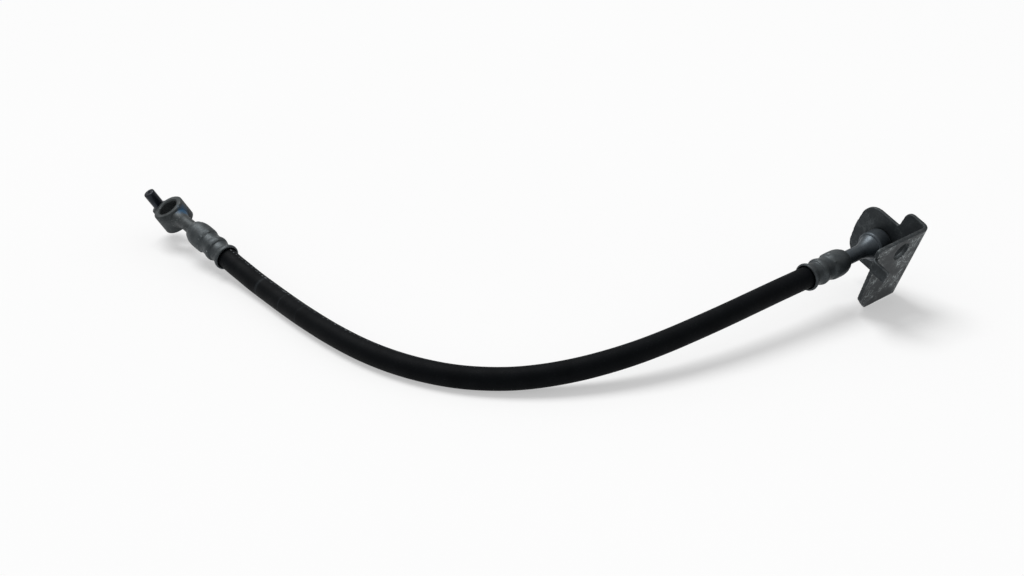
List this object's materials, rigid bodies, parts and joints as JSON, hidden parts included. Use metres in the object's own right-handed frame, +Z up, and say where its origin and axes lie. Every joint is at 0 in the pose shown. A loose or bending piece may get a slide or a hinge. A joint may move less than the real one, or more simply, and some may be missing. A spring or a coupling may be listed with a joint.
{
  "type": "brake line",
  "caption": "Flexible brake hose lying loose, with a crimped banjo eye and locating pin on one end and a female fitting in a folded sheet bracket on the other.",
  "frame": {"origin": "middle of the outline in plan, on the surface that the line lies on", "axes": "+X from the banjo end towards the bracket end, +Y away from the bow of the hose, +Z up"},
  "size_m": [0.3932, 0.179, 0.0454],
  "materials": {
    "rubber": "matte",
    "ferrule": "dull grey plating",
    "forging": "dull grey plating",
    "turned": "dull grey plating",
    "sheet": "dull grey plating, handled",
    "pin": "dark oxide"
  },
  "bodies": {
    "root": {"hose": "rubber", "banjo_ferrule": "ferrule", "banjo_fitting": "forging", "locating_pin": "pin", "bracket_ferrule": "ferrule", "female_fitting": "turned", "bracket": "sheet"}
  },
  "joints": []
}
